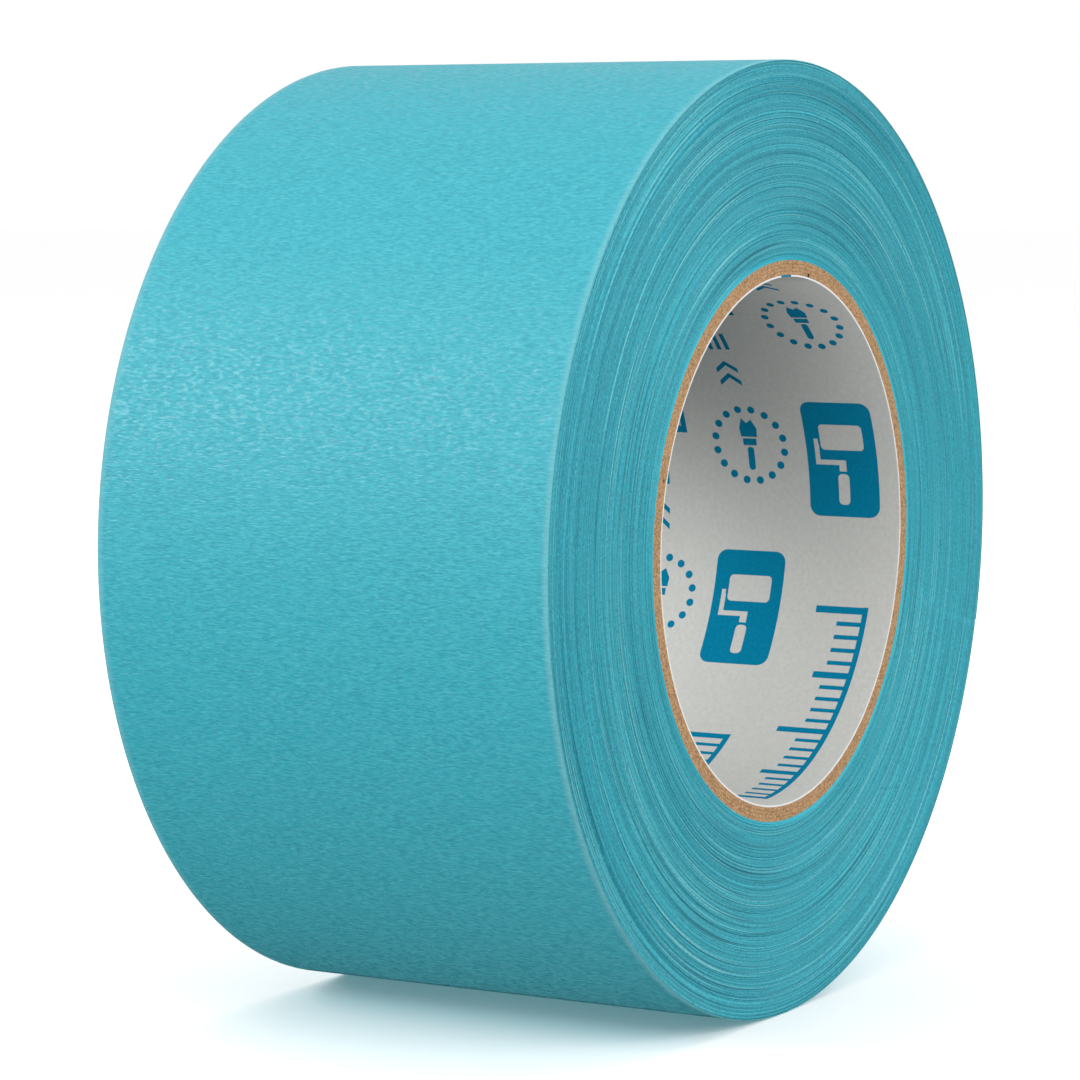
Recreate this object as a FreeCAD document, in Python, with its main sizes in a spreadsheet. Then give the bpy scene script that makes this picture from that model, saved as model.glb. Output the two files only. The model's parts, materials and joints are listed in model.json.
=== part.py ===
"""A roll of crepe-paper masking tape on a 3 inch paperboard core, in millimetres.

The roll stands on its rim. The origin is the middle of the bore, and the bore runs along Y.
The core is wound from four kraft plies and a white printed liner, each a strip laid as a helix
with a narrow butt seam. The tape is one strip, wound clockwise outwards as seen from -Y: a first
turn on the core, the windings, the outer turn, and the free end. The free end lies over its own
beginning, and is divided at its hinge lines into panels, because it bends there when it lifts.

A turn of the spiral is two half circles. The lower one is centred on the bore, and the upper one,
half a tape thickness to the side, meets it in a smooth line and ends one thickness further out.
The spiral is drawn with the free end's tip on local +X, and then turned to where the tip lies.
"""

import FreeCAD, Part
import Sketcher
import math
import os

PARTS = "parts"
KRAFT_PLIES = 4
END_PANELS = 4

# Alias, value, and what it is. Lengths are in millimetres and angles in degrees.
SIZES = (
    ("roll_width", 72.0, "width of the tape and core, which are slit together"),
    ("bore_diameter", 76.2, "inside of the liner: a 3 inch core"),
    ("liner_thickness", 0.27, "white printed paper inside the core"),
    ("kraft_ply_thickness", 0.53, "one ply of the core's wall"),
    ("ply_lead", 146.0, "how far a ply's strip advances along the core in one turn"),
    ("ply_seam", 0.3, "gap between one edge of a ply's strip and the other, along the core"),
    ("ply_stagger", 83.0, "turn from one kraft ply's seam to the next one's"),
    ("liner_seam_turn", 200.0, "where the liner's seam starts, turned from local +X"),
    ("tape_thickness", 0.178, "crepe backing with its adhesive"),
    ("turn_count", 160.0, "whole turns of tape, the first and the outer one among them"),
    ("first_turn_seam", 0.6, "gap between the first turn's start and its end, along the core"),
    ("tip_angle", -15.0, "where the free end's tip lies, up from +X"),
    ("end_panel_length", 15.0, "free end from one hinge line to the next, along its outer face"),
    ("hinge_gap", 0.05, "gap between two panels at a hinge line"),
    ("lift_gap", 0.02, "gap between the free end and the turn that it lies on"),
)
RUN_OUT = 1.0  # how far a seam's cutter stands past the ply, each way

ORIGIN, X_AXIS = -1, -1  # a sketch's own reference geometry
START, END, CENTRE = 1, 2, 3  # the point of an arc or line that a constraint holds


def make_sheet(doc):
    """The driving dimensions, one to a row: name, value, meaning."""
    sheet = doc.addObject("Spreadsheet::Sheet", "Sizes")
    for row, (alias, value, meaning) in enumerate(SIZES, start=1):
        sheet.set(f"A{row}", alias)
        sheet.set(f"B{row}", str(value))
        sheet.set(f"C{row}", meaning)
        sheet.setAlias(f"B{row}", alias)
    doc.recompute()
    return sheet


# Expressions that several sub-parts share, in the sheet's own names.
CORE_RADIUS = (
    "(Sizes.bore_diameter / 2 + Sizes.liner_thickness"
    f" + {KRAFT_PLIES} * Sizes.kraft_ply_thickness)"
)
WOUND_RADIUS = f"({CORE_RADIUS} + (Sizes.turn_count - 1) * Sizes.tape_thickness)"
UPPER_CENTRE = "(Sizes.tape_thickness / 2)"
END_INNER = f"({WOUND_RADIUS} + 0.5 * Sizes.tape_thickness)"
END_OUTER = f"({WOUND_RADIUS} + 1.5 * Sizes.tape_thickness)"
PANEL_TURN = f"(Sizes.end_panel_length / {END_OUTER} * 180 / pi)"
HALF_GAP_TURN = f"(Sizes.hinge_gap / 2 / {END_OUTER} * 180 / pi)"


class Roll:
    """The document, its sheet, and the values that first guesses and placements need."""

    def __init__(self):
        self.doc = FreeCAD.newDocument("masking_tape_roll")
        self.sheet = make_sheet(self.doc)
        self.parts = []

    def value(self, expression):
        """What an expression in the sheet's names comes to now, as a plain number."""
        found = self.sheet.evalExpression(expression)
        return float(getattr(found, "Value", found))

    def new_body(self, label):
        """An empty body that will be written as one node."""
        body = self.doc.addObject("PartDesign::Body", label)
        body.Label = label
        self.parts.append(body)
        return body

    def new_sketch(self, body, name, role):
        """A sketch on one of the body's own origin planes."""
        sketch = body.newObject("Sketcher::SketchObject", name)
        plane = next(o for o in body.Origin.OriginFeatures if o.Role == role)
        sketch.AttachmentSupport = [(plane, "")]
        sketch.MapMode = "FlatFace"
        return sketch

    def pad(self, body, sketch):
        """The sketch, drawn across the roll, carried half the width to each side."""
        pad = body.newObject("PartDesign::Pad", f"{body.Label}_pad")
        pad.Profile = sketch
        pad.SideType = "Symmetric"
        pad.setExpression("Length", "Sizes.roll_width")
        sketch.Visibility = False
        self.doc.recompute()
        return pad

    def turn_about_bore(self, body, expression):
        """Ties a sub-part's turn about the bore, anticlockwise as seen from -Y, to the sheet."""
        origin = "create(<<vector>>; 0; 0; 0)"
        axis = "create(<<vector>>; 0; -1; 0)"
        turn = f"create(<<rotation>>; {axis}; {expression})"
        body.setExpression("Placement", f"create(<<placement>>; {origin}; {turn})")
        self.doc.recompute()


def bind(sketch, constraint, name, expression):
    """Adds a dimension to a sketch and ties it to the sheet."""
    index = sketch.addConstraint(constraint)
    sketch.renameConstraint(index, name)
    sketch.setExpression(f"Constraints.{name}", expression)


def arc(centre_x, radius, from_deg, to_deg):
    """An arc in a sketch, anticlockwise, whose centre is on the local X axis."""
    circle = Part.Circle(FreeCAD.Vector(centre_x, 0, 0), FreeCAD.Vector(0, 0, 1), radius)
    return Part.ArcOfCircle(circle, math.radians(from_deg), math.radians(to_deg))


def polar(centre_x, radius, degrees):
    """The point of such an arc at an angle."""
    turn = math.radians(degrees)
    return FreeCAD.Vector(centre_x + radius * math.cos(turn), radius * math.sin(turn), 0)


def join(sketch, pairs):
    """Makes each pair of (geometry, point) coincide."""
    for (geo_a, point_a), (geo_b, point_b) in pairs:
        sketch.addConstraint(Sketcher.Constraint("Coincident", geo_a, point_a, geo_b, point_b))


def ring(roll, body, inner, outer):
    """A tube round the bore between two radii, each an expression."""
    sketch = roll.new_sketch(body, f"{body.Label}_ring", "XZ_Plane")
    for name, expression in (("inner_radius", inner), ("outer_radius", outer)):
        circle = Part.Circle(
            FreeCAD.Vector(0, 0, 0), FreeCAD.Vector(0, 0, 1), roll.value(expression)
        )
        geo = sketch.addGeometry(circle, False)
        join(sketch, [((geo, CENTRE), (ORIGIN, START))])
        bind(sketch, Sketcher.Constraint("Radius", geo, circle.Radius), name, expression)
    return roll.pad(body, sketch)


def cut_helical_seam(roll, body, inner, outer):
    """Parts a ply's tube along a helix, so that it is one strip with a butt seam."""
    whole = body.Shape.Volume
    low = f"({inner} - {RUN_OUT})"
    high = f"({outer} + {RUN_OUT})"
    depth = f"(Sizes.roll_width / 2 + {RUN_OUT})"
    x_low, x_high = roll.value(low), roll.value(high)
    y_low = -roll.value(depth)
    y_high = y_low + roll.value("Sizes.ply_seam")
    sketch = roll.new_sketch(body, f"{body.Label}_cutter", "XY_Plane")
    corners = [
        FreeCAD.Vector(x_low, y_low, 0),
        FreeCAD.Vector(x_high, y_low, 0),
        FreeCAD.Vector(x_high, y_high, 0),
        FreeCAD.Vector(x_low, y_high, 0),
    ]
    for index, corner in enumerate(corners):
        sketch.addGeometry(Part.LineSegment(corner, corners[(index + 1) % 4]), False)
    join(sketch, [((index, END), ((index + 1) % 4, START)) for index in range(4)])
    for geo, way in ((0, "Horizontal"), (1, "Vertical"), (2, "Horizontal"), (3, "Vertical")):
        sketch.addConstraint(Sketcher.Constraint(way, geo))
    bind(sketch, Sketcher.Constraint("DistanceX", 0, START, x_low), "inside", low)
    bind(sketch, Sketcher.Constraint("DistanceX", 0, END, x_high), "outside", high)
    bind(sketch, Sketcher.Constraint("DistanceY", 0, START, y_low), "start", f"-{depth}")
    bind(
        sketch,
        Sketcher.Constraint("DistanceY", 1, START, 1, END, y_high - y_low),
        "gap",
        "Sizes.ply_seam",
    )
    roll.doc.recompute()
    seam = body.newObject("PartDesign::SubtractiveHelix", f"{body.Label}_seam")
    seam.Profile = sketch
    axis = next(o for o in body.Origin.OriginFeatures if o.Role == "Y_Axis")
    seam.ReferenceAxis = (axis, [""])
    seam.Mode = "pitch-height-angle"
    seam.setExpression("Pitch", "Sizes.ply_lead")
    seam.setExpression("Height", f"2 * {depth}")
    sketch.Visibility = False
    roll.doc.recompute()
    if body.Shape.Volume >= whole:
        raise RuntimeError(f"the seam of {body.Label} cut nothing")


def make_ply(roll, label, inner, outer, seam_turn):
    """One ply of the core: a strip laid as a helix between two radii."""
    body = roll.new_body(label)
    ring(roll, body, inner, outer)
    cut_helical_seam(roll, body, inner, outer)
    roll.turn_about_bore(body, seam_turn)


def make_core(roll):
    """The white liner, then the kraft plies round it, each seam turned on from the last."""
    bore = "(Sizes.bore_diameter / 2)"
    kraft = f"({bore} + Sizes.liner_thickness)"
    make_ply(roll, "core_liner", bore, kraft, "Sizes.liner_seam_turn")
    for ply in range(KRAFT_PLIES):
        inner = f"({kraft} + {ply} * Sizes.kraft_ply_thickness)"
        outer = f"({kraft} + {ply + 1} * Sizes.kraft_ply_thickness)"
        seam_turn = f"{ply + 1} * Sizes.ply_stagger"
        make_ply(roll, f"core_ply_{ply + 1}", inner, outer, seam_turn)


def arc_strip(roll, body, centre_x, inner, outer, from_deg, to_deg):
    """A strip of tape between two radii and two radial ends. Each size is an expression."""
    middle = roll.value(centre_x)
    radii = roll.value(inner), roll.value(outer)
    ends = roll.value(from_deg), roll.value(to_deg)
    sketch = roll.new_sketch(body, f"{body.Label}_strip", "XZ_Plane")
    inside, outside = (sketch.addGeometry(arc(middle, r, *ends), False) for r in radii)
    first, last = (
        sketch.addGeometry(
            Part.LineSegment(*(polar(middle, r, degrees) for r in radii)), False
        )
        for degrees in ends
    )
    join(
        sketch,
        [
            ((inside, CENTRE), (outside, CENTRE)),
            ((inside, START), (first, START)),
            ((outside, START), (first, END)),
            ((inside, END), (last, START)),
            ((outside, END), (last, END)),
        ],
    )
    hold_centre(sketch, inside, centre_x, middle)
    for geo, name, size, expression in (
        (inside, "inner_radius", radii[0], inner),
        (outside, "outer_radius", radii[1], outer),
    ):
        bind(sketch, Sketcher.Constraint("Radius", geo, size), name, expression)
    for geo, name, degrees, expression in (
        (first, "first_end", ends[0], from_deg),
        (last, "last_end", ends[1], to_deg),
    ):
        hold_radial(sketch, geo, inside, name, degrees, expression)
    return roll.pad(body, sketch)


def hold_centre(sketch, geo, expression, value):
    """Holds an arc's centre on the local X axis, at a distance from the bore's middle."""
    if value == 0:
        join(sketch, [((geo, CENTRE), (ORIGIN, START))])
        return
    sketch.addConstraint(Sketcher.Constraint("PointOnObject", geo, CENTRE, X_AXIS))
    bind(sketch, Sketcher.Constraint("DistanceX", geo, CENTRE, value), "centre_x", expression)


def hold_radial(sketch, line, about, name, degrees, expression):
    """Holds a line on a radius of an arc, at an angle from the local X axis."""
    sketch.addConstraint(Sketcher.Constraint("PointOnObject", about, CENTRE, line))
    bind(
        sketch,
        Sketcher.Constraint("Angle", line, math.radians(degrees)),
        name,
        f"({expression}) * 1 deg",
    )


def make_first_turn(roll):
    """The turn that is stuck to the core, whose two ends nearly meet."""
    body = roll.new_body("tape_first_turn")
    gap_turn = f"(Sizes.first_turn_seam / {CORE_RADIUS} * 180 / pi)"
    arc_strip(
        roll,
        body,
        "0",
        CORE_RADIUS,
        f"({CORE_RADIUS} + Sizes.tape_thickness)",
        f"{gap_turn} / 2",
        f"360 - {gap_turn} / 2",
    )
    roll.turn_about_bore(body, "Sizes.tip_angle")


def make_windings(roll):
    """Every turn between the first and the outer one, with the step where the outer one starts."""
    body = roll.new_body("tape_windings")
    lower = roll.value(WOUND_RADIUS)
    upper = roll.value(END_INNER)
    shift = roll.value(UPPER_CENTRE)
    inner = f"({CORE_RADIUS} + Sizes.tape_thickness)"
    sketch = roll.new_sketch(body, "windings_outline", "XZ_Plane")
    hole = sketch.addGeometry(
        Part.Circle(FreeCAD.Vector(0, 0, 0), FreeCAD.Vector(0, 0, 1), roll.value(inner)), False
    )
    under = sketch.addGeometry(arc(0, lower, 180, 360), False)
    over = sketch.addGeometry(arc(shift, upper, 0, 180), False)
    step = sketch.addGeometry(
        Part.LineSegment(polar(0, lower, 0), polar(shift, upper, 0)), False
    )
    join(
        sketch,
        [
            ((hole, CENTRE), (ORIGIN, START)),
            ((under, START), (over, END)),
            ((under, END), (step, START)),
            ((over, START), (step, END)),
        ],
    )
    hold_centre(sketch, under, "0", 0)
    hold_centre(sketch, over, UPPER_CENTRE, shift)
    sketch.addConstraint(Sketcher.Constraint("PointOnObject", under, START, X_AXIS))
    sketch.addConstraint(Sketcher.Constraint("PointOnObject", under, END, X_AXIS))
    sketch.addConstraint(Sketcher.Constraint("PointOnObject", over, START, X_AXIS))
    bind(sketch, Sketcher.Constraint("Radius", hole, roll.value(inner)), "hole_radius", inner)
    bind(sketch, Sketcher.Constraint("Radius", under, lower), "lower_radius", WOUND_RADIUS)
    roll.pad(body, sketch)
    roll.turn_about_bore(body, "Sizes.tip_angle")


def make_outer_turn(roll):
    """The last turn, from the windings' step round to the free end's first hinge line."""
    body = roll.new_body("tape_outer_turn")
    root = f"({END_PANELS} * {PANEL_TURN} + {HALF_GAP_TURN})"
    lower_out = f"({WOUND_RADIUS} + Sizes.tape_thickness)"
    shift = roll.value(UPPER_CENTRE)
    turn = roll.value(root)
    low_in, low_out = roll.value(WOUND_RADIUS), roll.value(lower_out)
    up_in, up_out = roll.value(END_INNER), roll.value(END_OUTER)
    sketch = roll.new_sketch(body, "outer_turn_strip", "XZ_Plane")
    under_in = sketch.addGeometry(arc(0, low_in, 180, 360), False)
    under_out = sketch.addGeometry(arc(0, low_out, 180, 360), False)
    over_in = sketch.addGeometry(arc(shift, up_in, turn, 180), False)
    over_out = sketch.addGeometry(arc(shift, up_out, turn, 180), False)
    start = sketch.addGeometry(
        Part.LineSegment(polar(0, low_in, 0), polar(0, low_out, 0)), False
    )
    root_end = sketch.addGeometry(
        Part.LineSegment(polar(shift, up_in, turn), polar(shift, up_out, turn)), False
    )
    join(
        sketch,
        [
            ((under_in, START), (over_in, END)),
            ((under_out, START), (over_out, END)),
            ((under_in, END), (start, START)),
            ((under_out, END), (start, END)),
            ((over_in, START), (root_end, START)),
            ((over_out, START), (root_end, END)),
            ((over_in, CENTRE), (over_out, CENTRE)),
        ],
    )
    hold_centre(sketch, under_in, "0", 0)
    hold_centre(sketch, under_out, "0", 0)
    hold_centre(sketch, over_in, UPPER_CENTRE, shift)
    for geo, point in (
        (under_in, START),
        (under_in, END),
        (under_out, START),
        (under_out, END),
    ):
        sketch.addConstraint(Sketcher.Constraint("PointOnObject", geo, point, X_AXIS))
    bind(sketch, Sketcher.Constraint("Radius", under_in, low_in), "inner_radius", WOUND_RADIUS)
    bind(sketch, Sketcher.Constraint("Radius", under_out, low_out), "outer_radius", lower_out)
    hold_radial(sketch, root_end, over_in, "root", turn, root)
    roll.pad(body, sketch)
    roll.turn_about_bore(body, "Sizes.tip_angle")


def make_free_end(roll):
    """The free end's panels, numbered from the outer turn to the tip."""
    inner = f"({END_INNER} + Sizes.lift_gap)"
    for panel in range(END_PANELS):
        body = roll.new_body(f"tape_end_panel_{panel + 1}")
        is_tip = panel == END_PANELS - 1
        from_deg = f"{END_PANELS - panel - 1} * {PANEL_TURN}"
        to_deg = f"({END_PANELS - panel} * {PANEL_TURN} - {HALF_GAP_TURN})"
        if not is_tip:
            from_deg = f"({from_deg} + {HALF_GAP_TURN})"
        arc_strip(roll, body, UPPER_CENTRE, inner, END_OUTER, from_deg, to_deg)
        roll.turn_about_bore(body, "Sizes.tip_angle")


def check(roll):
    """Stops before anything is written if a feature failed or a sub-part isn't one solid."""
    for item in roll.doc.Objects:
        bad = {"Invalid", "Error"} & set(item.State)
        if bad:
            raise RuntimeError(f"{item.Label} is {', '.join(sorted(bad))}")
    for body in roll.parts:
        shape = body.Shape
        if shape.isNull() or not shape.isValid() or len(shape.Solids) != 1:
            raise RuntimeError(f"{body.Label} isn't one valid solid")


def main():
    roll = Roll()
    make_core(roll)
    make_first_turn(roll)
    make_windings(roll)
    make_outer_turn(roll)
    make_free_end(roll)
    roll.doc.recompute()
    check(roll)
    os.makedirs(PARTS, exist_ok=True)
    for body in roll.parts:
        body.Shape.exportStep(os.path.join(PARTS, f"{body.Label}.step"))
        print(f"{body.Label}: {body.Shape.Volume:.1f} mm3")


main()
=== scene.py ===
"""Looks for a roll of crepe masking tape on a paperboard core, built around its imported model.

The bore runs along Y through the origin, and the roll stands on its rim. Sizes are in metres.
A point on the wound tape is given by `turn`, its angle anticlockwise from the free end's tip as
seen from -Y, and by its height above the face of the windings that the outer turn lies on.
"""

import json
import math

import bmesh
import bpy
import numpy as np
from mathutils import Matrix, Vector, noise


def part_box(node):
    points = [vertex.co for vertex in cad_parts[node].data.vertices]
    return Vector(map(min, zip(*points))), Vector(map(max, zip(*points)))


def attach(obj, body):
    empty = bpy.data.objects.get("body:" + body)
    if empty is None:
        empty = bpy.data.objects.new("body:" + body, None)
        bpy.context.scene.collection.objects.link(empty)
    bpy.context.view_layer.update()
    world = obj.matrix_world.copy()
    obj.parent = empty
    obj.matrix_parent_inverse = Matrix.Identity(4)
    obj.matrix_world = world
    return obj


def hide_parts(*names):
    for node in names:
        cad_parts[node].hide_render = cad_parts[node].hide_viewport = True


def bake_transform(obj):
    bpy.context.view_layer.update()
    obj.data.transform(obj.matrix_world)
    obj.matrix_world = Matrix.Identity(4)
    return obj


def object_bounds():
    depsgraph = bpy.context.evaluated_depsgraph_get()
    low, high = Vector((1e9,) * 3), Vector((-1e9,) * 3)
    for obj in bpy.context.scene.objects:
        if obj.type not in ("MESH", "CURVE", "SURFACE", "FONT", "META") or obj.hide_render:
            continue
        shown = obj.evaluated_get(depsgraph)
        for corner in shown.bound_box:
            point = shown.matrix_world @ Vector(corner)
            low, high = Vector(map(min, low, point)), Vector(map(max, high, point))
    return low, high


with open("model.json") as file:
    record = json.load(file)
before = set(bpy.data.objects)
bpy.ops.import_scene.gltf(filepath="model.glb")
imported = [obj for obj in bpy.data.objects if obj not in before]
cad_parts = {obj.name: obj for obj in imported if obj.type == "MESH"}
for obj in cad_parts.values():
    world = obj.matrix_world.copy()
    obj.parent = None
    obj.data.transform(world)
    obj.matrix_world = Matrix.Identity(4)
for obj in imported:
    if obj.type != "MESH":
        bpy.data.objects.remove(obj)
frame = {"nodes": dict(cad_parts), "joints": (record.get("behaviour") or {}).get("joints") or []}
cad_low, cad_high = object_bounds()

MM = 0.001
TAU = 2 * math.pi

# ---------------------------------------------------------------- sizes, read from the frame


def reach(node):
    """A CAD node's least and greatest distance from the bore's axis."""
    points = np.array([v.co for v in frame["nodes"][node].data.vertices])
    away = np.hypot(points[:, 0], points[:, 2])
    return float(away.min()), float(away.max())


PLIES = 4
PANELS = 4
BORE, LINER = reach("core_liner")
CORE = reach(f"core_ply_{PLIES}")[1]
WOUND = reach("tape_outer_turn")[0]  # the windings' radius where the outer turn starts
TAPE = reach("tape_first_turn")[1] - CORE  # thickness
HALF = float(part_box("core_liner")[1].y)  # half the roll's width
TURNS = round((WOUND - CORE) / TAPE)  # turns of tape between the core and the outer turn
FLOOR = cad_low.z
HINGES = [Vector(j["pos_m"]) for j in frame["joints"]]


def hinge_angle(index):
    """A hinge line's angle about the bore, up from +X."""
    return math.atan2(HINGES[index].z, HINGES[index].x)


LAST = PANELS - 1
PANEL = (hinge_angle(0) - hinge_angle(LAST)) / LAST  # turn from one hinge line to the next
TIP = hinge_angle(LAST) - PANEL  # where the free end's tip lies, up from +X
ROOT = PANELS * PANEL  # the first hinge line, as a turn from the tip

PLY_LEAD = 146 * MM  # how far a ply's strip advances along the core in one turn
PLY_SEAM = 0.3 * MM  # gap between its edges, along the core
SEAM_RUN_OUT = 1 * MM  # the seams' angles are taken this far outside the near side
LINER_SEAM = math.radians(200)  # the liner's seam's angle there, up from +X
PLY_STAGGER = math.radians(83)  # how far each ply's seam is turned on from the last


def wound_point(turn, height, along):
    """The row-frame point at a turn, a height above the windings, and a place along the bore."""
    upper = turn % TAU < math.pi
    centre = TAPE / 2 if upper else 0.0
    radius = WOUND + height + centre
    x = centre + radius * math.cos(turn)
    z = radius * math.sin(turn)
    c, s = math.cos(TIP), math.sin(TIP)
    return (x * c - z * s, along, x * s + z * c)


# ---------------------------------------------------------------- building meshes


def new_piece(name, verts, faces, body=None, sharp=60):
    """A smooth-shaded mesh object, sharp where its faces meet at more than an angle in degrees."""
    mesh = bpy.data.meshes.new(name)
    mesh.from_pydata([tuple(v) for v in verts], [], faces)
    mesh.polygons.foreach_set("use_smooth", [True] * len(mesh.polygons))
    mesh.set_sharp_from_angle(angle=math.radians(sharp))
    mesh.update()
    piece = bpy.data.objects.new(name, mesh)
    bpy.context.scene.collection.objects.link(piece)
    if body:
        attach(piece, body)
    return piece


def loft(rings, closed):
    """Vertices and faces of a solid through loops of points, with end caps unless it closes.

    The faces come ring by ring, each ring's in the order of the loop's points.
    """
    count, size = len(rings), len(rings[0])
    verts = [point for ring in rings for point in ring]
    faces = []
    for i in range(count if closed else count - 1):
        here, there = i * size, ((i + 1) % count) * size
        for j in range(size):
            k = (j + 1) % size
            faces.append((here + j, here + k, there + k, there + j))
    if not closed:
        faces.append(tuple(range(size - 1, -1, -1)))
        faces.append(tuple(range((count - 1) * size, count * size)))
    return verts, faces


# ---------------------------------------------------------------- materials


def new_material(name, roughness, specular):
    """A material with its tree and its shader."""
    material = bpy.data.materials.new(name)
    material.use_nodes = True
    tree = material.node_tree
    shader = tree.nodes["Principled BSDF"]
    shader.inputs["Roughness"].default_value = roughness
    shader.inputs["Specular IOR Level"].default_value = specular
    return material, tree, shader


def add_node(tree, kind, inputs, output=0, **settings):
    """Add a shader node, fill or link its inputs, and give back one of its outputs."""
    node = tree.nodes.new("ShaderNode" + kind)
    for key, value in settings.items():
        setattr(node, key, value)
    for key, value in inputs.items():
        if isinstance(value, bpy.types.NodeSocket):
            tree.links.new(value, node.inputs[key])
        else:
            node.inputs[key].default_value = value
    return node.outputs[output]


def place(tree):
    """The shaded point, in the row frame."""
    return add_node(tree, "TexCoord", {}, "Object")


def stretched(tree, vector, scales):
    """A vector with each part scaled."""
    return add_node(tree, "VectorMath", {0: vector, 1: scales}, operation="MULTIPLY")


def noise_of(tree, vector, detail=2.0, roughness=0.5):
    """Noise from 0 to 1, with features about one unit of the vector across."""
    inputs = {"Vector": vector, "Scale": 1.0, "Detail": detail, "Roughness": roughness}
    return add_node(tree, "TexNoise", inputs, "Fac")


def span(tree, value, low, high, to_low=0.0, to_high=1.0):
    """A value carried smoothly from one range to another, and held at its ends."""
    inputs = {0: value, 1: low, 2: high, 3: to_low, 4: to_high}
    return add_node(tree, "MapRange", inputs, interpolation_type="SMOOTHSTEP")


def blended(tree, factor, first, second):
    """One colour going to another."""
    inputs = {0: factor, 6: first, 7: second}
    return add_node(tree, "Mix", inputs, 2, data_type="RGBA")


def overlaid(tree, tint, value, low, high, amount, new):
    """A tint that goes part of the way to a new colour as a value rises from low to high."""
    return blended(tree, span(tree, value, low, high, 0.0, amount), tint, new)


def product(tree, first, second):
    return add_node(tree, "Math", {0: first, 1: second}, operation="MULTIPLY")


def total(tree, first, second):
    return add_node(tree, "Math", {0: first, 1: second}, operation="ADD")


def off_middle(tree, at):
    """How far a point is along the bore from the roll's middle, either way."""
    along = add_node(tree, "SeparateXYZ", {0: at}, 1)
    return add_node(tree, "Math", {0: along}, operation="ABSOLUTE")


def roughen(tree, shader, height, depth):
    """Bump the shader by a height from 0 to 1 that stands for a depth in metres."""
    inputs = {"Height": height, "Distance": depth, "Strength": 1.0}
    tree.links.new(add_node(tree, "Bump", inputs), shader.inputs["Normal"])


def colour(red, green, blue):
    return (red, green, blue, 1.0)


EDGE_HIGHLIGHT = (1.3 * MM, 0.15 * MM)  # where the painted highlight along the back's slit edges starts and is full, from the slit


def make_tape_back():
    """The tape's creped paper back: fine wrinkles along the bore, paler at the slit edges, where a
    highlight is painted.
    """
    material, tree, shader = new_material("tape_back", 0.55, 0.34)
    at = place(tree)
    wrinkle = noise_of(tree, stretched(tree, at, (3300, 800, 3300)), 2.0, 0.6)
    pucker = noise_of(tree, stretched(tree, at, (1300, 330, 1300)), 1.0)
    glint = noise_of(tree, stretched(tree, at, (2400, 950, 2400)), 0.0)
    cloud = noise_of(tree, stretched(tree, at, (110, 60, 110)), 3.0)
    streak = noise_of(tree, stretched(tree, at, (5200, 900, 5200)), 1.0, 0.6)
    deep = colour(0.024, 0.280, 0.355)
    plain = colour(0.034, 0.358, 0.436)
    pale = colour(0.048, 0.408, 0.482)
    bright = colour(0.080, 0.442, 0.516)
    # a pale, greyer colour painted along both slit edges as a highlight, where their rounding would
    # catch the light
    painted_edge_highlight = colour(0.24, 0.52, 0.57)
    start, full = (HALF - inset for inset in EDGE_HIGHLIGHT)
    tint = blended(tree, span(tree, wrinkle, 0.30, 0.72), deep, pale)
    tint = blended(tree, span(tree, cloud, 0.30, 0.70, 0.20, 0.45), tint, plain)
    tint = overlaid(tree, tint, streak, 0.50, 0.72, 0.65, bright)
    # painted highlight along both slit edges
    tint = overlaid(tree, tint, off_middle(tree, at), start, full, 0.38, painted_edge_highlight)
    tree.links.new(tint, shader.inputs["Base Color"])
    tree.links.new(span(tree, glint, 0.40, 0.76, 0.60, 0.31), shader.inputs["Roughness"])
    height = total(tree, product(tree, wrinkle, 0.7), product(tree, pucker, 0.3))
    roughen(tree, shader, height, 0.12 * MM)
    return material


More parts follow.
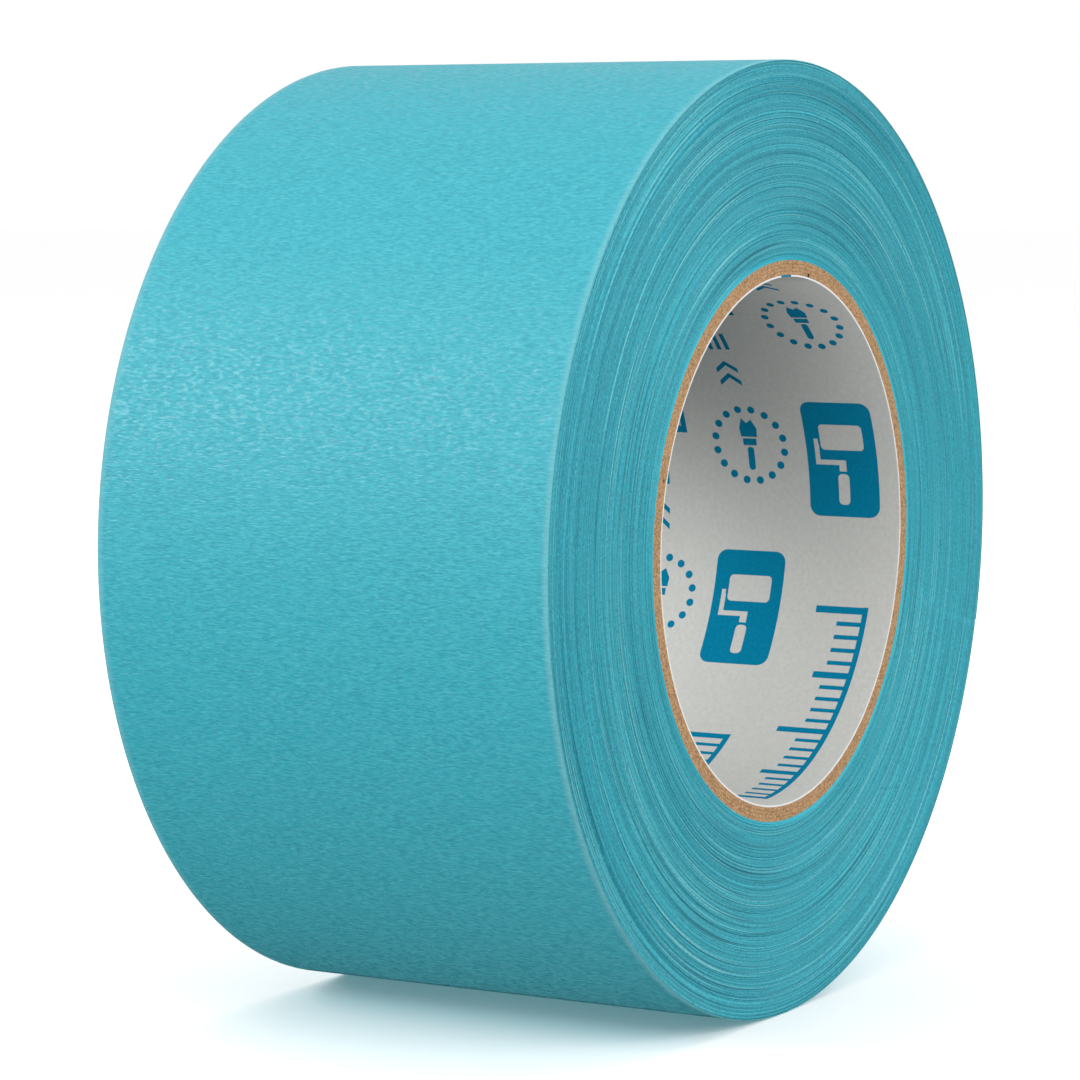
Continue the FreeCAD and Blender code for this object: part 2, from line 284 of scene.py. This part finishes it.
def make_tape_edges():
    """The slit edges of the wound turns: fine rings, some pale and some dark, with fibre specks."""
    material, tree, shader = new_material("tape_edges", 0.62, 0.2)
    at = place(tree)
    flat = stretched(tree, at, (1, 0, 1))
    radius = add_node(tree, "VectorMath", {0: flat}, "Value", operation="LENGTH")
    way = add_node(tree, "VectorMath", {0: flat}, operation="NORMALIZE")
    way = add_node(tree, "SeparateXYZ", {0: way}, 0).node

    def rings(per_mm, turns, detail):
        """Noise drawn out round the bore."""
        parts = {
            0: product(tree, radius, per_mm / MM),
            1: product(tree, way.outputs[0], turns),
            2: product(tree, way.outputs[2], turns),
        }
        return noise_of(tree, add_node(tree, "CombineXYZ", parts), detail, 0.6)

    turn_lines = rings(6.4, 0.9, 1.0)
    pairs = rings(2.4, 0.8, 1.0)
    dashes = rings(6.5, 55.0, 2.0)
    band = rings(0.7, 0.8, 1.0)
    lines = rings(7.0, 1.0, 0.0)
    marks = rings(7.5, 1.3, 0.0)
    fibres = rings(3.6, 120.0, 1.0)
    flecks = rings(4.6, 150.0, 1.0)
    deep = colour(0.030, 0.260, 0.345)
    pale = colour(0.066, 0.545, 0.645)
    at_core = span(tree, radius, CORE + 0.25 * MM, CORE + 1.0 * MM, 0.75, 0.0)
    tint = blended(tree, span(tree, turn_lines, 0.26, 0.74), deep, pale)
    for value, low, high, amount, new in (
        (pairs, 0.42, 0.62, 0.28, (0.038, 0.29, 0.375)),
        (dashes, 0.36, 0.66, 0.55, (0.040, 0.33, 0.42)),
        (band, 0.50, 0.68, 0.26, (0.040, 0.30, 0.38)),
        (flecks, 0.52, 0.70, 0.60, (0.075, 0.56, 0.65)),
        (lines, 0.67, 0.74, 0.75, (0.25, 0.68, 0.72)),
        (marks, 0.67, 0.74, 0.75, (0.020, 0.15, 0.20)),
        (fibres, 0.52, 0.72, 0.60, (0.030, 0.22, 0.29)),
    ):
        tint = overlaid(tree, tint, value, low, high, amount, colour(*new))
    tint = blended(tree, at_core, tint, colour(0.050, 0.52, 0.64))
    tree.links.new(tint, shader.inputs["Base Color"])
    grain = total(tree, product(tree, fibres, -0.5), product(tree, flecks, 0.5))
    height = total(tree, product(tree, turn_lines, 0.6), product(tree, dashes, 0.3))
    roughen(tree, shader, total(tree, height, grain), 0.05 * MM)
    return material


def make_adhesive():
    """The tape's sticky side: smooth, glossier and a little greener than its back."""
    material, tree, shader = new_material("adhesive", 0.28, 0.5)
    at = place(tree)
    flow = noise_of(tree, stretched(tree, at, (700, 160, 700)), 3.0, 0.6)
    deep = colour(0.055, 0.36, 0.41)
    pale = colour(0.080, 0.41, 0.455)
    tint = blended(tree, span(tree, flow, 0.3, 0.7), deep, pale)
    tree.links.new(tint, shader.inputs["Base Color"])
    tree.links.new(span(tree, flow, 0.3, 0.7, 0.26, 0.36), shader.inputs["Roughness"])
    roughen(tree, shader, flow, 0.01 * MM)
    return material


def make_kraft():
    """Brown paperboard, speckled by its pulp."""
    material, tree, shader = new_material("kraft", 0.85, 0.25)
    at = place(tree)
    pulp = noise_of(tree, stretched(tree, at, (3400, 3400, 3400)), 2.0, 0.7)
    shade = noise_of(tree, stretched(tree, at, (500, 500, 500)), 2.0)
    chip = noise_of(tree, stretched(tree, at, (1800, 1800, 1800)), 1.0)
    dark = colour(0.23, 0.125, 0.052)
    light = colour(0.65, 0.40, 0.215)
    tint = blended(tree, span(tree, pulp, 0.28, 0.72), dark, light)
    tint = overlaid(tree, tint, shade, 0.3, 0.7, 0.35, colour(0.55, 0.32, 0.15))
    tint = overlaid(tree, tint, chip, 0.68, 0.78, 0.6, colour(0.80, 0.60, 0.40))
    tree.links.new(tint, shader.inputs["Base Color"])
    roughen(tree, shader, pulp, 0.08 * MM)
    return material


def make_paper():
    """The liner's smooth white paper, whiter where it was cut."""
    material, tree, shader = new_material("liner_paper", 0.55, 0.35)
    at = place(tree)
    fibre = noise_of(tree, stretched(tree, at, (1500, 1500, 1500)), 3.0, 0.6)
    cloud = noise_of(tree, stretched(tree, at, (130, 130, 130)), 2.0)
    dull = colour(0.57, 0.57, 0.540)
    clear = colour(0.63, 0.63, 0.600)
    rim = span(tree, off_middle(tree, at), HALF - 0.10 * MM, HALF - 0.04 * MM)
    tint = blended(tree, span(tree, fibre, 0.3, 0.7), dull, clear)
    tint = overlaid(tree, tint, cloud, 0.3, 0.7, 0.3, colour(0.59, 0.59, 0.565))
    tint = blended(tree, rim, tint, colour(0.86, 0.86, 0.85))
    tree.links.new(tint, shader.inputs["Base Color"])
    roughen(tree, shader, fibre, 0.012 * MM)
    return material


def make_ink():
    """Blue-green printing ink, a little uneven."""
    material, tree, shader = new_material("ink", 0.8, 0.03)
    lay = noise_of(tree, stretched(tree, place(tree), (2400, 2400, 2400)), 2.0, 0.7)
    heavy = colour(0.001, 0.185, 0.33)
    thin = colour(0.002, 0.225, 0.39)
    tint = blended(tree, span(tree, lay, 0.3, 0.7), heavy, thin)
    tree.links.new(tint, shader.inputs["Base Color"])
    return material


# ---------------------------------------------------------------- tape

EDGE = 0.08 * MM  # how far the slit edges are rounded
ROWS = 60  # points across the tape's back
CREPE_STEP = 0.27 * MM / WOUND  # turn from one row of the crepe's points to the next
CREPE_DEPTH = 0.018  # the wrinkles' greatest height or depth, in millimetres
WINDING_DROP = 0.06 * MM  # how far the windings' outermost face is below the outer turn
LIFT = 0.02 * MM  # gap under the free end
SEAM = 0.0007  # half the gap at the step where the outer turn starts, as a turn
BELOW = (-0.16 * MM, -0.02 * MM)  # the turn under the free end, down from the outer turn


def crepe(turn, along):
    """Height of the crepe's wrinkles, which run along the bore, at a place on the tape."""
    around = turn * WOUND / MM
    across = along / MM
    fine = noise.noise(Vector((around / 0.62, across / 2.6, 0.0)))
    broad = noise.noise(Vector((around / 1.6, across / 6.0, 7.0)))
    height = 0.015 * fine + 0.008 * broad
    return max(-CREPE_DEPTH, min(CREPE_DEPTH, height)) * MM


def tear(along):
    """How far back from the tip the free end's torn edge is."""
    across = along / MM
    wave = 0.30 * noise.noise(Vector((across / 9.0, 3.0, 0.0)))
    nick = 0.22 * noise.noise(Vector((across / 1.3, 5.0, 0.0)))
    return (0.35 + wave + nick) * MM / WOUND


TEAR_RUN = 2.5 * MM / WOUND  # how far from the tip the tear's shape reaches


def strip_loop(turn, low, high, inner_rows):
    """A loop round the tape's section: over its back from the far edge, and under to the start."""
    torn = low > 0  # only the free end is, and it alone lies off the windings
    reach_back = max(0.0, 1 - turn / TEAR_RUN) if torn else 0.0
    places = np.linspace(HALF - EDGE, EDGE - HALF, ROWS)

    def point(height, along):
        return wound_point(turn + tear(along) * reach_back, height, along)

    loop = [point(high - EDGE, HALF)]
    loop += [point(high + crepe(turn, along), along) for along in places]
    loop.append(point(high - EDGE, -HALF))
    loop += [point(low, along) for along in np.linspace(-HALF, HALF, inner_rows)]
    return loop


def make_strip(name, first, last, low, high, body, inner_rows=2):
    """A length of tape from one turn to another, between two heights above the windings."""
    count = max(2, int(round(abs(last - first) / CREPE_STEP)) + 1)
    turns = np.linspace(first, last, count)
    rings = [strip_loop(turn, low, high, inner_rows) for turn in turns]
    verts, faces = loft(rings, closed=False)
    if first < last:
        faces = [face[::-1] for face in faces]
    piece = new_piece(name, verts, faces, body)
    for material in (tape_back, tape_edges, adhesive):
        piece.data.materials.append(material)
    back, edge, sticky = 0, 1, 2
    ring_faces = [back] * (ROWS + 1) + [edge] + [sticky] * (inner_rows - 1) + [edge]
    cut_ends = [edge, edge]
    indices = ring_faces * (count - 1) + cut_ends
    piece.data.polygons.foreach_set("material_index", indices)
    return piece


def make_outer_turn():
    """The last turn, from the first hinge line round to its start under the tip."""
    piece = make_strip("outer_turn", ROOT, TAU - SEAM, 0.0, TAPE, "roll")
    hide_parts("tape_outer_turn")


def make_turn_below():
    """The turn that the free end lies on, seen when it lifts."""
    past_root = ROOT + 0.05
    make_strip("turn_below", SEAM, past_root, *BELOW, "roll")


def make_free_end():
    """The free end in four lengths, each holding one hinge line, split from the next halfway
    between them.
    """
    for k in range(PANELS):
        first = ROOT - max(0.0, k - 0.5) * PANEL
        bend_end = ROOT - (k + 0.5) * PANEL  # halfway to the next hinge line
        last = 0.0 if k == LAST else bend_end
        piece = make_strip(f"free_end_{k + 1}", first, last, LIFT, TAPE, None, ROWS)
        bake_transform(piece)
        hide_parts(f"tape_end_panel_{k + 1}")


COLUMNS = 288  # points round the windings' side faces
DRIFT_TURNS = 5  # turns from one random height to the next, where the heights drift together
RIDGE = (0.12, 0.62)  # each turn's groove and crest, as shares of its thickness
SHOULDER = HALF - 0.05 * MM  # the windings' inner and outer corners, from the roll's middle


def turn_heights(draws, turns):
    """Each turn's own height in millimetres: mostly slight, with a few turns proud or sunk."""
    own = draws.normal(0, 0.022, turns)
    proud = draws.random(turns) < 0.07
    own[proud] += draws.uniform(0.03, 0.09, proud.sum())
    sunk = draws.random(turns) < 0.08
    own[sunk] -= draws.uniform(0.05, 0.12, sunk.sum())
    return own


def drifting(draws, turns):
    """Three rows of random values that drift smoothly from turn to turn."""
    waves = draws.normal(0, 1, (3, turns // DRIFT_TURNS + 3))
    at = np.arange(turns) / DRIFT_TURNS
    index = at.astype(int)
    part = at - index
    return waves[:, index] * (1 - part) + waves[:, index + 1] * part


def make_windings(name, side, seed):
    """Half of the wound turns, from the middle of the roll to one side face.

    side is -1 for the near face and 1 for the far one. Each turn's edge has its own height, which
    changes a little round the roll, and there is a groove between one turn and the next.
    """
    draws = np.random.default_rng(seed)
    turns = TURNS - 1
    own = turn_heights(draws, turns)
    drift = drifting(draws, turns)
    swing = draws.uniform(0, TAU, turns)
    groove = draws.uniform(0.04, 0.08, turns)
    inner = CORE + TAPE
    steps = np.array([(k + RIDGE[0], k + RIDGE[1]) for k in range(turns)]).ravel() / turns
    rings = []
    for column in range(COLUMNS + 1):
        turn = min(column * TAU / COLUMNS, TAU - SEAM)
        x, _, z = wound_point(turn, -WINDING_DROP, 0)
        outer = math.hypot(x, z)
        c, s = x / outer, z / outer
        angle = math.atan2(z, x)
        crest = own * (0.7 + 0.3 * np.cos(angle - swing)) + 0.025 * drift[0]
        crest += 0.015 * drift[1] * np.cos(angle + drift[2])
        radii = inner + (outer - inner) * steps
        heights = (HALF + np.stack([crest - groove, crest], axis=1).ravel() * MM) * side
        loop = [(inner * c, 0.0, inner * s), (inner * c, SHOULDER * side, inner * s)]
        loop += [(r * c, h, r * s) for r, h in zip(radii, heights)]
        loop += [(outer * c, SHOULDER * side, outer * s), (outer * c, 0.0, outer * s)]
        rings.append(loop)
    verts, faces = loft(rings, closed=True)
    if side > 0:
        faces = [face[::-1] for face in faces]
    piece = new_piece(name, verts, faces, "roll", sharp=80)
    piece.data.materials.append(tape_edges)
    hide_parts("tape_windings")


def make_first_turn():
    """The turn stuck to the core, whose edge stands a little proud of the others."""
    gap = 0.3 * MM / CORE  # half the gap between its ends, as a turn
    proud = HALF + 0.03 * MM
    profile = [(0.0, HALF), (0.4, proud), (0.8, proud), (1.0, HALF - 0.03 * MM)]
    section = [(CORE + part * TAPE, along) for part, along in profile]
    section += [(radius, -along) for radius, along in section[::-1]]
    rings = []
    for turn in np.linspace(gap, TAU - gap, 361):
        c, s = math.cos(turn + TIP), math.sin(turn + TIP)
        rings.append([(radius * c, along, radius * s) for radius, along in section])
    verts, faces = loft(rings, closed=False)
    piece = new_piece("first_turn", verts, [face[::-1] for face in faces], "roll")
    piece.data.materials.append(tape_edges)
    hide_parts("tape_first_turn")


# ---------------------------------------------------------------- core

PLY_RINGS = 241  # sections round a ply
PLY_ROWS = 37  # points along a kraft ply's section
LINER_ROWS = 109  # and along the liner's, which has to lie close under the ink


def make_ply(name, node, seam, material, seed, count):
    """One ply of the core: a strip laid as a helix, closed but for the seam between its edges."""
    draws = np.random.default_rng(seed)
    inner, outer = reach(node)
    gap = PLY_SEAM / PLY_LEAD * TAU
    soften = 0.03 * (outer - inner)  # how far the cut edges are rounded
    rows = np.linspace(-HALF, HALF, count)
    rings = []
    for part in np.linspace(0, 1, PLY_RINGS):
        loop = []
        fuzz = draws.normal(0, 0.01 * MM, 2)
        for radius, inwards, places in ((inner, 1, rows), (outer, -1, rows[::-1])):
            for row in places:
                run = (row + HALF + SEAM_RUN_OUT) / PLY_LEAD * TAU
                angle = seam - run - gap / 2 - (TAU - gap) * part
                rim = HALF - abs(row) < 1e-9
                away = radius + inwards * soften * rim
                along = row + fuzz[int(row > 0)] * rim
                loop.append((away * math.cos(angle), along, away * math.sin(angle)))
        rings.append(loop)
    verts, faces = loft(rings, closed=False)
    piece = new_piece(name, verts, faces, "roll")
    piece.data.materials.append(material)
    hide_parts(node)


def make_core():
    """The white liner and the kraft plies round it."""
    make_ply("liner", "core_liner", LINER_SEAM, paper, 11, LINER_ROWS)
    for ply in range(1, PLIES + 1):
        name, node = f"kraft_ply_{ply}", f"core_ply_{ply}"
        make_ply(name, node, ply * PLY_STAGGER, kraft, 20 + ply, PLY_ROWS)


# ---------------------------------------------------------------- print inside the core

# Motifs are outlines in millimetres, drawn flat: the first number is along the bore's wall and
# the second is depth into the bore. An outline inside another is a hole.


def oval(x, y, radius, points=28):
    return [
        (x + radius * math.cos(TAU * i / points), y + radius * math.sin(TAU * i / points))
        for i in range(points)
    ]


def box(x0, y0, x1, y1):
    return [(x0, y0), (x1, y0), (x1, y1), (x0, y1)]


def round_box(x0, y0, x1, y1, radius, points=6):
    """A box with round corners."""
    outline = []
    centres = (
        (x1 - radius, y1 - radius),
        (x0 + radius, y1 - radius),
        (x0 + radius, y0 + radius),
        (x1 - radius, y0 + radius),
    )
    for quarter, (x, y) in enumerate(centres):
        for i in range(points + 1):
            angle = (quarter + i / points) * math.pi / 2
            outline.append((x + radius * math.cos(angle), y + radius * math.sin(angle)))
    return outline


def brush_motif():
    """A paint brush in a ring of dots."""
    outlines = []
    dots, ring = 16, 5.9
    for i in range(dots):
        angle = TAU * (i + 0.5) / dots
        outlines.append(oval(ring * math.cos(angle), ring * math.sin(angle), 0.62, 14))
    outlines.append(round_box(-4.2, -0.55, -0.5, 0.55, 0.5))
    outlines.append(box(-0.2, -1.15, 0.9, 1.15))
    bristles = [(1.2, -1.35), (1.2, 1.35), (2.6, 1.5), (4.3, 0.9), (3.5, 0.1)]
    bristles += [(4.1, -0.7), (2.6, -1.5)]
    outlines.append(bristles)
    return outlines


def roller_motif():
    """A solid badge with a paint roller left clear in it."""
    outlines = [round_box(-9.25, -5.9, 9.25, 5.9, 1.7)]
    outlines.append(round_box(1.2, -3.9, 5.4, 3.4, 0.7))
    frame_line = [(3.0, 3.8), (3.0, 4.5), (-1.2, 4.5), (-1.2, 0.6), (-2.2, 0.6), (-2.2, -0.6)]
    frame_line += [(-0.4, -0.6), (-0.4, 3.7), (2.2, 3.7), (2.2, 3.8)]
    outlines.append(frame_line)
    outlines.append(round_box(-7.4, -0.95, -2.6, 0.95, 0.7))
    return outlines


def ruler_motif():
    """A measuring scale with no figures."""
    teeth = 21
    end = 22.3  # from its middle to either end
    bottom, spine = -4.5, -3.6  # the line that the teeth stand on
    comb = [(-end, bottom), (-end, spine)]
    for i in range(teeth):
        tall = 4.3 if i % 10 == 0 else 2.2 if i % 5 == 0 else 0.4
        wide = 0.55 if i % 5 == 0 else 0.35
        x = -end + 0.6 + 2 * (end - 0.6) * i / (teeth - 1)
        comb += [(x - wide, spine), (x - wide, tall), (x + wide, tall), (x + wide, spine)]
    comb += [(end, spine), (end, bottom)]
    return [comb]


def chevron_motif():
    """Two chevrons and three bars."""
    outlines = []
    for x in (-5.6, -3.2):
        tip = [(x, -1.8), (x + 0.9, -1.8), (x + 2.4, 0), (x + 0.9, 1.8), (x, 1.8), (x + 1.5, 0)]
        outlines.append(tip)
    for i in range(3):
        outlines.append(box(1.6, -1.9 + 1.4 * i, 5.2, -1.2 + 1.4 * i))
    return outlines


ROW_TURN = 36.7  # each row of print is this many degrees round from the last
ROW_DEPTH = 15.75  # and this many millimetres deeper
INK_OUT = 0.01 * MM  # the ink reaches this far into the liner
INK_IN = 0.02 * MM  # and stands this far off it
WELD = 1e-5  # points this close in the flat print are one, in millimetres
SLIVER = 1e-4  # and edges this short are dropped
BEND_STEP = 1.3  # how long a flat part of the bent print may be, in millimetres


def print_marks():
    """Every motif on the bore, with its degrees from the top towards +X and its depth in mm."""
    strip_of_marks = (
        (chevron_motif, 12.5, 10.0),
        (brush_motif, 36.25, 9.0),
        (roller_motif, 75.5, 9.2),
        (ruler_motif, 143.75, 8.5),
    )
    for half in (0, 180):
        for row in range(-1, 5):
            for motif, turn, depth in strip_of_marks:
                yield motif, turn + half + ROW_TURN * row, depth + ROW_DEPTH * row


def flat_solid(outlines):
    """A thin flat solid from closed outlines in millimetres."""
    curve = bpy.data.curves.new("outlines", "CURVE")
    curve.dimensions = "2D"
    curve.fill_mode = "BOTH"
    curve.extrude = 1.0
    for outline in outlines:
        spline = curve.splines.new("POLY")
        spline.points.add(len(outline) - 1)
        for point, (x, y) in zip(spline.points, outline):
            point.co = (x, y, 0, 1)
        spline.use_cyclic_u = True
    holder = bpy.data.objects.new("outlines", curve)
    mesh = bpy.data.meshes.new_from_object(holder)
    solid = bmesh.new()
    solid.from_mesh(mesh)
    bmesh.ops.remove_doubles(solid, verts=solid.verts, dist=WELD)
    bpy.data.objects.remove(holder)
    bpy.data.curves.remove(curve)
    bpy.data.meshes.remove(mesh)
    return solid


def slice_solid(solid, point, normal, keep_below=False):
    """Cut a solid by a plane, and drop and close the side that the normal points to if asked."""
    everything = solid.verts[:] + solid.edges[:] + solid.faces[:]
    cut = bmesh.ops.bisect_plane(
        solid, geom=everything, plane_co=point, plane_no=normal, clear_outer=keep_below, dist=WELD
    )
    if keep_below:
        edges = [item for item in cut["geom_cut"] if isinstance(item, bmesh.types.BMEdge)]
        open_edges = [edge for edge in edges if edge.is_boundary]
        bmesh.ops.holes_fill(solid, edges=open_edges, sides=0)


def make_print():
    """The ink: every motif cut at the roll's sides and bent on to the liner."""
    width = 2 * HALF / MM
    verts, faces = [], []
    for motif, turn, depth in print_marks():
        solid = flat_solid([[(-x, y + depth) for x, y in line] for line in motif()])
        if min(v.co.y for v in solid.verts) < 0:
            slice_solid(solid, (0, 0, 0), (0, -1, 0), True)
        if solid.verts and max(v.co.y for v in solid.verts) > width:
            slice_solid(solid, (0, width, 0), (0, 1, 0), True)
        if solid.verts:
            left = min(v.co.x for v in solid.verts)
            right = max(v.co.x for v in solid.verts)
            for x in np.arange(left + BEND_STEP, right, BEND_STEP):
                slice_solid(solid, (x, 0, 0), (1, 0, 0))
        bmesh.ops.dissolve_degenerate(solid, edges=solid.edges, dist=SLIVER)
        solid.verts.index_update()
        start = len(verts)
        for v in solid.verts:
            angle = math.radians(90 - turn) - v.co.x * MM / BORE
            radius = BORE + (INK_OUT if v.co.z > 0 else -INK_IN)
            along = v.co.y * MM - HALF
            verts.append((radius * math.cos(angle), along, radius * math.sin(angle)))
        faces += [tuple(start + v.index for v in face.verts) for face in solid.faces]
        solid.free()
    piece = new_piece("core_print", verts, faces, "roll", sharp=30)
    piece.data.materials.append(ink)


EDGE_MARK = (-3.4, 1.2)  # where a mark crosses the liner's near edge, in degrees from the top


def make_edge_mark():
    """Ink on the liner's near end face, where a printed mark was slit through."""
    inner, outer = BORE + INK_OUT, LINER - INK_OUT
    back, front = -HALF + INK_OUT, -HALF - INK_IN
    rings = []
    for turn in np.linspace(*EDGE_MARK, 9):
        angle = math.radians(90 - turn)
        c, s = math.cos(angle), math.sin(angle)
        corners = ((inner, back), (outer, back), (outer, front), (inner, front))
        rings.append([(r * c, along, r * s) for r, along in corners])
    verts, faces = loft(rings, closed=False)
    piece = new_piece("edge_mark", verts, faces, "roll", sharp=30)
    piece.data.materials.append(ink)


# ---------------------------------------------------------------- studio


def make_camera():
    """The camera at the photograph's angle, upright, with a long lens."""
    azimuth, elevation = math.radians(-59.87), math.radians(5.15)
    distance, aside, lowered = 0.6064, 0.00449, 0.001415
    back = Vector(
        (
            math.sin(azimuth) * math.cos(elevation),
            -math.cos(azimuth) * math.cos(elevation),
            math.sin(elevation),
        )
    )
    right = Vector((math.cos(azimuth), math.sin(azimuth), 0))
    up = back.cross(right)
    camera = bpy.data.objects.new("camera", bpy.data.cameras.new("camera"))
    camera.data.sensor_width = 36
    camera.data.lens = 136.06
    camera.data.clip_start = 0.01
    turn = Matrix((right, up, back)).transposed().to_4x4()
    spot = back * distance - right * aside - up * lowered
    camera.matrix_world = Matrix.Translation(spot) @ turn
    bpy.context.scene.collection.objects.link(camera)
    bpy.context.scene.camera = camera


def make_floor():
    """A wide, plain, white floor just under the rim, which bounces no light on to the roll."""
    bpy.ops.mesh.primitive_circle_add(vertices=96, radius=8, fill_type="NGON")
    floor = bpy.context.object
    floor.name = "floor"
    floor.location.z = FLOOR - 0.0001
    material, tree, shader = new_material("floor", 0.9, 0.2)
    shader.inputs["Base Color"].default_value = (0.99, 0.99, 0.99, 1)
    shader.inputs["Emission Color"].default_value = (1, 1, 1, 1)
    shader.inputs["Emission Strength"].default_value = 0.07
    floor.data.materials.append(material)
    floor.visible_diffuse = False
    floor.visible_glossy = False


def add_softbox(name, direction, distance, size, power):
    """A square lamp at a distance in a direction, facing the roll's middle."""
    light = bpy.data.lights.new(name, "AREA")
    light.shape = "SQUARE"
    light.size = size
    light.energy = power
    lamp = bpy.data.objects.new(name, light)
    towards = Vector(direction).normalized()
    facing = towards.to_track_quat("Z", "Y").to_matrix().to_4x4()
    lamp.matrix_world = Matrix.Translation(towards * distance) @ facing
    bpy.context.scene.collection.objects.link(lamp)


SKY = 0.94  # brightness of the room above the horizon
GROUND = 0.06  # below it, towards the front and the back
UNDER = 2.5  # below it, straight down and towards the sides
MIRRORED = 0.68  # above the horizon, in a reflection


def make_light():
    """A white room that is dimmer in reflections, lit from below in its middle, and three lamps."""
    world = bpy.data.worlds.new("room")
    world.use_nodes = True
    tree = world.node_tree
    way = add_node(tree, "TexCoord", {}, "Generated")
    parts = add_node(tree, "SeparateXYZ", {0: way}).node.outputs
    along = add_node(tree, "Math", {0: parts[1]}, operation="ABSOLUTE")
    below = span(tree, along, 0.08, 0.48, UNDER, GROUND)
    above = span(tree, parts[2], -0.12, -0.02)
    strength = add_node(tree, "Mix", {0: above, 2: below, 3: SKY}, 0)
    rays = add_node(tree, "LightPath", {}).node.outputs
    mirrored = product(tree, above, MIRRORED)
    strength = add_node(tree, "Mix", {0: rays["Is Glossy Ray"], 2: strength, 3: mirrored}, 0)
    strength = add_node(tree, "Mix", {0: rays["Is Camera Ray"], 2: strength, 3: 1.0}, 0)
    tree.links.new(strength, tree.nodes["Background"].inputs["Strength"])
    tree.nodes["Background"].inputs["Color"].default_value = (1, 1, 1, 1)
    bpy.context.scene.world = world
    bpy.context.scene.view_settings.view_transform = "Standard"
    add_softbox("left_back", (-0.64, 0.60, 0.46), 1.2, 0.5, 6.4)
    add_softbox("front", (-0.30, -1.0, 0.52), 1.2, 0.6, 6.5)
    add_softbox("right", (0.90, -0.08, 0.40), 1.3, 0.6, 3)


make_camera()
make_floor()
make_light()
tape_back = make_tape_back()
tape_edges = make_tape_edges()
adhesive = make_adhesive()
kraft = make_kraft()
paper = make_paper()
ink = make_ink()
make_outer_turn()
make_turn_below()
make_free_end()
make_windings("windings_near", -1, 3)
make_windings("windings_far", 1, 4)
make_first_turn()
make_core()
make_print()
make_edge_mark()
